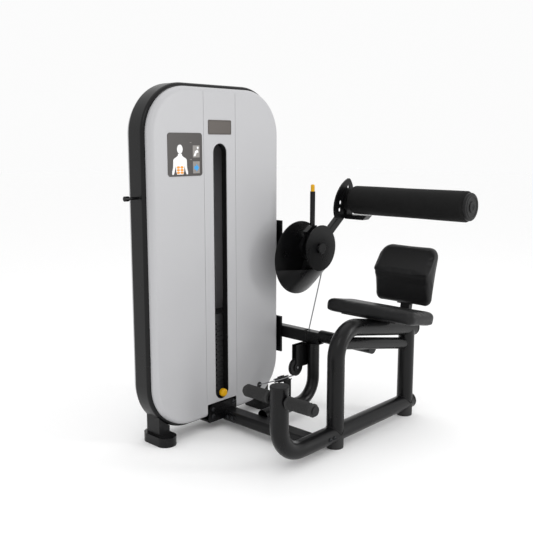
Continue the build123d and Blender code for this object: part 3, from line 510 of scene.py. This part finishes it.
# ---- printed exercise plate ---------------------------------------------------------
# A rigid dark plate behind the glass-clear film of a screen print: a white bust with the worked
# muscles in orange, and two small tiles with a seated figure and an arrow. All of it is generic.


def printed(name, colour, rough):
    """Screen print ink: even, with a very fine mesh grain."""
    material, tree, shader, place = blank(name)
    mesh_grain = add(tree, "ShaderNodeTexNoise", {"Vector": place, "Scale": 1200.0, "Detail": 1.0})
    shade = "#%02X%02X%02X" % tuple(max(int(colour[i:i + 2], 16) - 10, 0) for i in (1, 3, 5))
    tree.links.new(tinted(tree, mesh_grain.outputs["Fac"], shade, colour), shader.inputs["Base Color"])
    shader.inputs["Roughness"].default_value = rough
    bump(tree, shader, mesh_grain.outputs["Fac"], 0.05, 0.0002)
    return material


INKS = {
    "plate_black": printed("ink_black", "#37322F", 0.35),
    "white": printed("ink_white", "#F4F4F4", 0.4),
    "orange": printed("ink_orange", "#F09A1A", 0.4),
    "grey": printed("ink_grey", "#8C8884", 0.4),
    "blue": printed("ink_blue", "#1E9CE0", 0.4),
}
coat(INKS["plate_black"], "exercise_placard")
plate_low, plate_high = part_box("exercise_placard")
plate_w, plate_h = plate_high.y - plate_low.y, plate_high.z - plate_low.z
INK_STEP = 0.00025


def ink_shape(shape, outline, layer, slot):
    """One flat inked area, raised by its layer; the outline is in fractions of the plate."""
    front = plate_high.x + INK_STEP * layer
    ring = [shape.verts.new((front, plate_low.y + u * plate_w, plate_low.z + v * plate_h))
            for u, v in outline]
    back = [shape.verts.new((plate_high.x + INK_STEP * 0.1, v.co.y, v.co.z)) for v in ring]
    face = shape.faces.new(ring)
    face.material_index = slot
    for i in range(len(ring)):
        j = (i + 1) % len(ring)
        side = shape.faces.new((ring[j], ring[i], back[i], back[j]))
        side.material_index = slot
    shape.faces.new(list(reversed(back))).material_index = slot


def ellipse(u, v, ru, rv, steps=28):
    return [(u + ru * math.cos(2 * math.pi * i / steps), v + rv * math.sin(2 * math.pi * i / steps))
            for i in range(steps)]


def mirrored(half, axis_u):
    """A left-right symmetric outline from its right half, listed from the bottom up."""
    return half + [(2 * axis_u - u, v) for u, v in reversed(half)]


BUST_U = 0.345
bust = mirrored([
    (0.435, 0.045), (0.462, 0.13), (0.470, 0.24), (0.500, 0.115), (0.530, 0.045), (0.572, 0.045),
    (0.570, 0.12), (0.548, 0.20), (0.540, 0.30), (0.538, 0.38), (0.515, 0.41), (0.440, 0.45),
    (0.405, 0.48), (0.398, 0.52)], BUST_U)
ink = bmesh.new()
ink_shape(ink, bust, 1, 0)
ink_shape(ink, ellipse(BUST_U, 0.625, 0.080, 0.105), 1, 0)
ABS_ROWS, ABS_COLUMNS = 3, 2
for row in range(ABS_ROWS):
    for column in range(ABS_COLUMNS):
        u = BUST_U - 0.052 + column * 0.104
        v = 0.085 + row * 0.062
        ink_shape(ink, ellipse(u, v, 0.046, 0.028, 16), 2, 1)
for v in (0.43, 0.06):
    ink_shape(ink, [(0.72, v), (0.92, v), (0.92, v + 0.28), (0.72, v + 0.28)], 1, 2)
ink_shape(ink, [(0.74, 0.46), (0.80, 0.46), (0.83, 0.53), (0.89, 0.55), (0.86, 0.61), (0.79, 0.58)], 2, 0)
ink_shape(ink, ellipse(0.865, 0.655, 0.026, 0.030, 16), 2, 0)
arrow = [(0.76, 0.15), (0.82, 0.15), (0.82, 0.10), (0.90, 0.19), (0.82, 0.28), (0.82, 0.23), (0.76, 0.23)]
ink_shape(ink, arrow, 2, 3)
ink_shape(ink, [(0.62, 0.775), (0.68, 0.765), (0.68, 0.785)], 1, 2)
ink_shape(ink, [(0.62, 0.385), (0.68, 0.375), (0.68, 0.395)], 1, 2)
bmesh.ops.triangulate(ink, faces=ink.faces)
bmesh.ops.recalc_face_normals(ink, faces=ink.faces)
pictograms = bpy.data.objects.new("placard_pictograms", bpy.data.meshes.new("placard_pictograms"))
ink.to_mesh(pictograms.data)
ink.free()
for key in ("white", "orange", "grey", "blue"):
    pictograms.data.materials.append(INKS[key])
bpy.context.scene.collection.objects.link(pictograms)
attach(pictograms, "frame")

# ---- blank name plate ---------------------------------------------------------------
# A small anodised plate above the slot, left blank, in a thin brushed rim.
anodised = bright_metal("grey_anodised_aluminium", "#5A5653", 0.38, 0.5, (1.0, 20.0, 1.0))
coat(anodised, "name_plate")
name_low, name_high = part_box("name_plate")
INSET = 0.004
rim_y = (name_low.y + INSET, name_high.y - INSET)
rim_z = (name_low.z + INSET, name_high.z - INSET)
rim = [(name_high.x, rim_y[a], rim_z[b]) for a, b in ((0, 0), (1, 0), (1, 1), (0, 1))]
plate_rim = grow("name_plate_rim", path_mesh([rim + rim[:1]]), BEAD,
                 {"Bead Radius": 0.0008, "Ripple Depth": 0.0, "Finish": anodised})
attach(plate_rim, "frame")

# ---- upholstery ---------------------------------------------------------------------
# Seat and back pad: moulded foam on plywood, wrapped in black vinyl that is stretched and
# stapled underneath. The vinyl has a fine leather grain and a soft shine where it is taut.


def vinyl(name):
    material, tree, shader, place = blank(name)
    pebbles = add(tree, "ShaderNodeTexVoronoi", {"Vector": place, "Scale": 420.0}, feature="SMOOTH_F1")
    creases = add(tree, "ShaderNodeTexNoise", {"Vector": place, "Scale": 150.0, "Detail": 5.0})
    cloud = add(tree, "ShaderNodeTexNoise", {"Vector": place, "Scale": 12.0, "Detail": 3.0})
    height = add(tree, "ShaderNodeMath", {0: pebbles.outputs["Distance"], 1: creases.outputs["Fac"]},
                 operation="ADD")
    tree.links.new(tinted(tree, cloud.outputs["Fac"], "#0B0B0C", "#121213"), shader.inputs["Base Color"])
    tree.links.new(between(tree, creases.outputs["Fac"], 0.34, 0.52), shader.inputs["Roughness"])
    shader.inputs["IOR"].default_value = 1.5
    shader.inputs["Specular IOR Level"].default_value = 0.3
    bump(tree, shader, height.outputs[0], 0.35, 0.0007)
    return material


black_vinyl = vinyl("black_vinyl")


def keep_mesh(piece, modifier_name):
    """Makes a modifier's result the piece's own mesh."""
    graph = bpy.context.evaluated_depsgraph_get()
    result = bpy.data.meshes.new_from_object(piece.evaluated_get(graph), depsgraph=graph)
    piece.modifiers.remove(piece.modifiers[modifier_name])
    piece.data = result


def stuff(piece, voxel, cap, pressure):
    """Swells the foam against its cover with cloth pressure, each point moving at most by cap."""
    remesh = piece.modifiers.new("remesh", "REMESH")
    remesh.mode = "VOXEL"
    remesh.voxel_size = voxel
    keep_mesh(piece, "remesh")
    start = [v.co.copy() for v in piece.data.vertices]
    cloth = piece.modifiers.new("cloth", "CLOTH")
    cloth.settings.use_pressure = True
    cloth.settings.uniform_pressure_force = pressure
    cloth.settings.effector_weights.gravity = 0.0
    cloth.settings.tension_stiffness = 40.0
    cloth.settings.compression_stiffness = 40.0
    cloth.settings.bending_stiffness = 2.0
    scene = bpy.context.scene
    for step in range(1, 21):
        scene.frame_set(step)
    keep_mesh(piece, "cloth")
    for vertex, home in zip(piece.data.vertices, start):
        move = vertex.co - home
        if move.length > cap:
            vertex.co = home + move * (cap / move.length)
    scene.frame_set(1)


def soften(piece, factor, repeat):
    """Evens out the voxel steps."""
    smooth = piece.modifiers.new("smooth", "SMOOTH")
    smooth.factor = factor
    smooth.iterations = repeat
    keep_mesh(piece, "smooth")


def finish_pad(piece, material, body, node):
    piece.data.materials.clear()
    piece.data.materials.append(material)
    for face in piece.data.polygons:
        face.use_smooth = True
        face.material_index = 0
    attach(piece, body)
    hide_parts(node)


def rounded_ring(half_w, half_d, corner, steps):
    """Points of a rounded rectangle, anticlockwise."""
    ring = []
    for turn, (sx, sy) in zip((0, 90, 180, 270), ((1, 1), (-1, 1), (-1, -1), (1, -1))):
        for i in range(steps + 1):
            a = math.radians(turn + 90 * i / steps)
            ring.append((sx * (half_w - corner) + corner * math.cos(a),
                         sy * (half_d - corner) + corner * math.sin(a)))
    return ring


def shell(name, rings):
    """A closed skin over rings of points with the same count."""
    shape = bmesh.new()
    rows = [[shape.verts.new(p) for p in ring] for ring in rings]
    for low, high in zip(rows, rows[1:]):
        for i in range(len(low)):
            j = (i + 1) % len(low)
            shape.faces.new((low[i], low[j], high[j], high[i]))
    shape.faces.new(list(reversed(rows[0])))
    shape.faces.new(rows[-1])
    bmesh.ops.triangulate(shape, faces=[f for f in shape.faces if len(f.verts) > 4])
    bmesh.ops.recalc_face_normals(shape, faces=shape.faces)
    mesh = bpy.data.meshes.new(name)
    shape.to_mesh(mesh)
    shape.free()
    piece = bpy.data.objects.new(name, mesh)
    bpy.context.scene.collection.objects.link(piece)
    return piece


# ---- seat pad -----------------------------------------------------------------------
# A low rectangular cushion with big rounded corners and a slightly crowned top, 56 mm thick,
# screwed to a pan that follows the rail's slope.
seat_low, seat_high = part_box("seat_pad")
seat_centre = (seat_low + seat_high) / 2
SEAT_DEPTH = 0.214
seat_half_w = (seat_high.x - seat_low.x) / 2
seat_frame = Matrix.Translation(seat_centre) @ Matrix.Rotation(-RAIL_SLOPE, 4, "X")
# Height above the pad's middle and how far the outline is drawn in there.
SEAT_SECTION = [(-0.028, 0.010), (-0.028, 0.003), (-0.024, 0.0012), (-0.010, 0.0), (0.008, 0.0),
                (0.018, 0.004), (0.0245, 0.011), (0.0275, 0.022), (0.0280, 0.060)]
SEAT_CORNER, SMALLEST_CORNER = 0.034, 0.012
seat_rings = []
for height, draw_in in SEAT_SECTION:
    corner = max(SEAT_CORNER - draw_in * 0.4, SMALLEST_CORNER)
    ring = rounded_ring(seat_half_w - draw_in, SEAT_DEPTH / 2 - draw_in, corner, 8)
    seat_rings.append([seat_frame @ Vector((x, y, height)) for x, y in ring])
seat = shell("seat_cushion", seat_rings)
stuff(seat, 0.005, 0.004, 3.0)
soften(seat, 0.5, 6)
finish_pad(seat, black_vinyl, "frame", "seat_pad")

# ---- back pad -----------------------------------------------------------------------
# A lumbar pad in two flats that meet at a soft crease: the crease stands foremost, the lower
# flat leans back a little, the upper one more, and all the edges are well rounded.
back_low, back_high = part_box("back_pad")
back_x = (back_low.x + back_high.x) / 2
back_half_w = (back_high.x - back_low.x) / 2
BACK_HEIGHT = back_high.z - back_low.z
CREASE_Z = 0.160
FRONT_LINE = [(0.0, 0.028), (0.108, 0.016), (CREASE_Z, 0.0), (0.276, 0.084)]   # height, depth
REAR_LINE = [(0.0, 0.046), (CREASE_Z, 0.082), (0.264, 0.112), (0.276, 0.114)]
TOP_CORNER, FOOT_CORNER = 0.052, 0.034      # corner radii in the pad's face
EDGE_ROUND = 0.012                          # rounding from the face to the sides
SEAM_WIDTH, SEAM_DEPTH = 0.005, 0.004
FRONT_SWELL = 0.003                         # the stuffed face stands out past the plain solid


def on_line(line, z):
    """Depth of a bent line at a height."""
    for (z0, y0), (z1, y1) in zip(line, line[1:]):
        if z <= z1:
            return y0 + (y1 - y0) * (z - z0) / (z1 - z0)
    return line[-1][1]


def back_section(z):
    """Front and rear faces of the pad at a height above its bottom edge."""
    seam = SEAM_DEPTH * math.exp(-((z - CREASE_Z + 0.012) / SEAM_WIDTH) ** 2)
    return on_line(FRONT_LINE, z) + seam, on_line(REAR_LINE, z)


def drawn_in(distance, radius):
    """How far a rounded corner stands in at a distance from its edge."""
    return radius - math.sqrt(max(radius ** 2 - max(radius - distance, 0) ** 2, 0))


back_rings = []
BACK_ROWS = 60
for i in range(BACK_ROWS + 1):
    turn = math.pi * i / BACK_ROWS
    z = BACK_HEIGHT * (1 - math.cos(turn)) / 2
    front, rear = back_section(z)
    edge = min(z, BACK_HEIGHT - z)
    corner = TOP_CORNER if z > BACK_HEIGHT / 2 else FOOT_CORNER
    half_width = back_half_w - 0.001 - drawn_in(edge, corner)
    full = drawn_in(edge, EDGE_ROUND)
    half_depth = max((rear - front + FRONT_SWELL) / 2 - full * 0.9, 0.003)
    middle = (front - FRONT_SWELL + rear) / 2
    ring = []
    for x, y in rounded_ring(half_width, half_depth, min(EDGE_ROUND, half_depth * 0.95), 8):
        across = 1 - (x / half_width) ** 2
        crown = 0.003 * across * min(edge / 0.040, 1.0) if y < 0 else 0.0
        ring.append((back_x + x, back_low.y + middle + y - crown, back_low.z + z))
    back_rings.append(ring)
back = shell("back_cushion", back_rings)
stuff(back, 0.004, 0.003, 3.0)
soften(back, 0.5, 3)
finish_pad(back, black_vinyl, "frame", "back_pad")

# ---- foam roller --------------------------------------------------------------------
# A sleeve of closed-cell foam over a plastic core: dull black skin, very slightly crowned,
# with both ends bevelled where it is squeezed between the end rings.


def foam_skin(name):
    material, tree, shader, place = blank(name)
    cells = add(tree, "ShaderNodeTexVoronoi", {"Vector": place, "Scale": 380.0})
    dents = add(tree, "ShaderNodeTexNoise", {"Vector": place, "Scale": 30.0, "Detail": 4.0})
    tree.links.new(tinted(tree, dents.outputs["Fac"], "#0C0C0C", "#141414"), shader.inputs["Base Color"])
    tree.links.new(between(tree, cells.outputs["Distance"], 0.6, 0.8), shader.inputs["Roughness"])
    shader.inputs["IOR"].default_value = 1.45
    shader.inputs["Specular IOR Level"].default_value = 0.2
    bump(tree, shader, cells.outputs["Distance"], 0.4, 0.0006)
    return material


foam_low, foam_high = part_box("roller_foam")
core_low, core_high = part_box("roller_core")
foam_r = (foam_high.z - foam_low.z) / 2
core_r = (core_high.z - core_low.z) / 2
roller_axis = (foam_low + foam_high) / 2
along_x = Matrix.Rotation(math.pi / 2, 4, "Y")
half = (foam_high.x - foam_low.x) / 2
FOAM_BEVEL, FOAM_LIP = 0.010, 0.062
foam_profile = [(core_r + 0.001, -half), (FOAM_LIP, -half), (foam_r - 0.004, -half + FOAM_BEVEL * 0.62),
                (foam_r - 0.001, -half + FOAM_BEVEL)]
FOAM_STEPS = 40
for i in range(FOAM_STEPS + 1):
    t = i / FOAM_STEPS
    x = -half + FOAM_BEVEL * 1.2 + (2 * half - FOAM_BEVEL * 2.4) * t
    foam_profile.append((foam_r - 0.0005 + 0.0004 * math.sin(9.0 * t), x))
foam_profile += [(foam_r - 0.001, half - FOAM_BEVEL), (foam_r - 0.004, half - FOAM_BEVEL * 0.62),
                 (FOAM_LIP, half), (core_r + 0.001, half)]


def placed(name, mesh, turn, centre):
    mesh.transform(Matrix.Translation(centre) @ turn)
    piece = bpy.data.objects.new(name, mesh)
    bpy.context.scene.collection.objects.link(piece)
    return piece


def tube_lathe(name, profile, steps):
    """A turned ring that is closed through its bore."""
    shape = bmesh.new()
    rows = []
    for radius, height in profile:
        turns = [2 * math.pi * i / steps for i in range(steps)]
        rows.append([shape.verts.new((radius * math.cos(turn), radius * math.sin(turn), height))
                     for turn in turns])
    for lower, upper in zip(rows, rows[1:] + rows[:1]):
        for i in range(steps):
            j = (i + 1) % steps
            shape.faces.new((lower[i], lower[j], upper[j], upper[i]))
    bmesh.ops.recalc_face_normals(shape, faces=shape.faces)
    mesh = bpy.data.meshes.new(name)
    shape.to_mesh(mesh)
    shape.free()
    return mesh


foam = placed("roller_sleeve", tube_lathe("roller_sleeve", foam_profile, 96), along_x, roller_axis)
finish_pad(foam, foam_skin("closed_cell_foam"), "roller", "roller_foam")

# ---- roller end ring and screw ------------------------------------------------------
# The cap on the free end carries a raised ring and a cover over the shaft's screw.
cap_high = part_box("roller_end_caps")[1]
CAP_RING = [(0.050, -0.003), (0.050, 0.0010), (0.047, 0.0022), (0.044, 0.0010), (0.044, -0.003)]
cap_ring = placed("roller_cap_ring", tube_lathe("roller_cap_ring", CAP_RING, 72), along_x,
                  Vector((cap_high.x, roller_axis.y, roller_axis.z)))
cap_ring.data.materials.append(black_plastic)
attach(cap_ring, "roller")
CAP_HUB = [(0.026, -0.002), (0.026, 0.0025), (0.023, 0.0042), (0.012, 0.0046), (0.011, 0.0026),
           (0.003, 0.0024)]
cap_hub = placed("roller_cap_hub", lathe("roller_cap_hub", CAP_HUB, 48), along_x,
                 Vector((cap_high.x, roller_axis.y, roller_axis.z)))
cap_hub.data.materials.append(black_plastic)
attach(cap_hub, "roller")
SCREW_SUNK = 0.0015
hub_floor = (cap_high.x - SCREW_SUNK, roller_axis.y, roller_axis.z)
screws("roller_cap_screw", "roller", [(hub_floor, (1, 0, 0))], 1.1)

# ---- foot grips ---------------------------------------------------------------------
# Thick rubber sleeves, ribbed round their length so that shoes don't slide off.


def rib_tree():
    """Round ribs at even steps along X from a start point."""
    tree = bpy.data.node_groups.new("ribs along a grip", "GeometryNodeTree")
    group_input(tree, "Geometry", "NodeSocketGeometry")
    group_input(tree, "Rib Count", "NodeSocketInt", 10)
    group_input(tree, "Rib Spacing", "NodeSocketFloat", 0.008)
    group_input(tree, "Ring Radius", "NodeSocketFloat", 0.025)
    group_input(tree, "Rib Radius", "NodeSocketFloat", 0.0018)
    group_input(tree, "Finish", "NodeSocketMaterial")
    tree.interface.new_socket("Geometry", in_out="OUTPUT", socket_type="NodeSocketGeometry")
    given = add(tree, "NodeGroupInput").outputs
    circle = add(tree, "GeometryNodeCurvePrimitiveCircle",
                 {"Resolution": 48, "Radius": given["Ring Radius"]})
    section = add(tree, "GeometryNodeCurvePrimitiveCircle",
                  {"Resolution": 8, "Radius": given["Rib Radius"]})
    ring = add(tree, "GeometryNodeCurveToMesh",
               {"Curve": circle.outputs[0], "Profile Curve": section.outputs[0]})
    upright = add(tree, "GeometryNodeTransform",
                  {"Geometry": ring.outputs[0], "Rotation": (0, math.pi / 2, 0)})
    step = add(tree, "ShaderNodeCombineXYZ", {"X": given["Rib Spacing"]})
    line = add(tree, "GeometryNodeMeshLine", {"Count": given["Rib Count"], "Offset": step.outputs[0]})
    shifted = add(tree, "GeometryNodeInstanceOnPoints",
                  {"Points": given["Geometry"], "Instance": line.outputs[0]})
    places = add(tree, "GeometryNodeRealizeInstances", {"Geometry": shifted.outputs[0]})
    ribs = add(tree, "GeometryNodeInstanceOnPoints",
               {"Points": places.outputs[0], "Instance": upright.outputs[0]})
    real = add(tree, "GeometryNodeRealizeInstances", {"Geometry": ribs.outputs[0]})
    smooth = add(tree, "GeometryNodeSetShadeSmooth", {"Geometry": real.outputs[0]})
    done = add(tree, "GeometryNodeSetMaterial",
               {"Geometry": smooth.outputs[0], "Material": given["Finish"]})
    add(tree, "NodeGroupOutput", {"Geometry": done.outputs[0]})
    return tree


grip_low, grip_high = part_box("foot_grips")
grip_axis = (grip_low + grip_high) / 2
grip_r = (grip_high.z - grip_low.z) / 2
GRIP_BORE, GRIP_SKIN = 0.0163, 0.0022
grip_inner = frame_x + tube_radius + 0.006
grip_length = grip_high.x - grip_inner
grip_mesh = bpy.data.meshes.new("foot_grip_sleeves")
sleeves = bmesh.new()
for side in (-1, 1):
    middle = frame_x + side * (tube_radius + 0.006 + grip_length / 2)
    body_r = grip_r - GRIP_SKIN
    half_grip = grip_length / 2
    near_half = [(GRIP_BORE, half_grip), (body_r - 0.004, half_grip), (grip_r, half_grip - 0.004),
                 (grip_r, half_grip - 0.010), (body_r, half_grip - 0.013)]
    profile = [(radius, -x) for radius, x in near_half] + list(reversed(near_half))
    part = tube_lathe("sleeve", profile, 48)
    part.transform(Matrix.Translation((middle, grip_axis.y, grip_axis.z)) @ along_x)
    sleeves.from_mesh(part)
sleeves.to_mesh(grip_mesh)
sleeves.free()
grips = bpy.data.objects.new("foot_grip_sleeves", grip_mesh)
bpy.context.scene.collection.objects.link(grips)
grips.data.materials.append(black_rubber)
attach(grips, "foot_grips")
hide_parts("foot_grips")
RIB_SPACING = 0.0075
rib_count = int((grip_length - 0.034) / RIB_SPACING) + 1
rib_starts = [(frame_x + tube_radius + 0.006 + 0.017, grip_axis.y, grip_axis.z),
              (grip_low.x + 0.017, grip_axis.y, grip_axis.z)]
rib_points = bpy.data.meshes.new("rib_starts")
rib_points.from_pydata(rib_starts, [], [])
ribs = grow("foot_grip_ribs", rib_points, rib_tree(), {
    "Rib Count": rib_count, "Rib Spacing": RIB_SPACING, "Ring Radius": grip_r - GRIP_SKIN,
    "Rib Radius": GRIP_SKIN - 0.0002, "Finish": black_rubber})
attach(ribs, "foot_grips")

# ---- floor, lights and camera -------------------------------------------------------
# A white studio sweep in a white room, with a key light high in front, a strip that lights the
# seat's side and a broad light overhead.
bpy.data.objects.remove(screw_pattern)
floor_mesh = bpy.data.meshes.new("studio_floor")
FLOOR_HALF = 30.0
floor_corners = [(x * FLOOR_HALF, y * FLOOR_HALF, 0) for x, y in ((-1, -1), (1, -1), (1, 1), (-1, 1))]
floor_mesh.from_pydata(floor_corners, [], [(0, 1, 2, 3)])
floor = bpy.data.objects.new("studio_floor", floor_mesh)
bpy.context.scene.collection.objects.link(floor)
paper, _, paper_shader, _ = blank("white_paper")
paper_shader.inputs["Base Color"].default_value = srgb("#FFFFFF")
paper_shader.inputs["Roughness"].default_value = 0.9
paper_shader.inputs["Specular IOR Level"].default_value = 0.1
floor.data.materials.append(paper)

ROOM_LIGHT = 0.97
world = bpy.data.worlds.new("studio")
world.use_nodes = True
world.node_tree.nodes["Background"].inputs["Color"].default_value = srgb("#FFFFFF")
world.node_tree.nodes["Background"].inputs["Strength"].default_value = ROOM_LIGHT
bpy.context.scene.world = world


def softbox(name, place, aim, width, height, power):
    lamp = bpy.data.lights.new(name, "AREA")
    lamp.shape = "RECTANGLE"
    lamp.size = width
    lamp.size_y = height
    lamp.energy = power
    made = bpy.data.objects.new(name, lamp)
    made.location = place
    made.rotation_euler = (Vector(aim) - Vector(place)).to_track_quat("-Z", "Y").to_euler()
    bpy.context.scene.collection.objects.link(made)
    return made


softbox("key", (2.2, -3.0, 3.6), (-0.2, 0.0, 0.9), 1.2, 1.6, 16.0)
softbox("side_strip", (3.6, 2.2, 1.8), (0.1, 0.2, 0.7), 0.5, 2.6, 42.0)
softbox("top", (-0.3, 0.2, 4.2), (-0.2, 0.1, 0.0), 3.0, 3.0, 15.0)

CAMERA_PLACE = (2.1186, -2.5161, 1.340)
CAMERA_AZIMUTH, CAMERA_DOWN = math.radians(43.03), math.radians(9.388)
lens = bpy.data.cameras.new("camera")
lens.lens = 50.506
lens.sensor_width = 36.0
camera = bpy.data.objects.new("camera", lens)
camera.location = CAMERA_PLACE
camera.rotation_euler = (math.pi / 2 - CAMERA_DOWN, 0.0, CAMERA_AZIMUTH)
bpy.context.scene.collection.objects.link(camera)
bpy.context.scene.camera = camera
bpy.context.scene.view_settings.view_transform = "Standard"
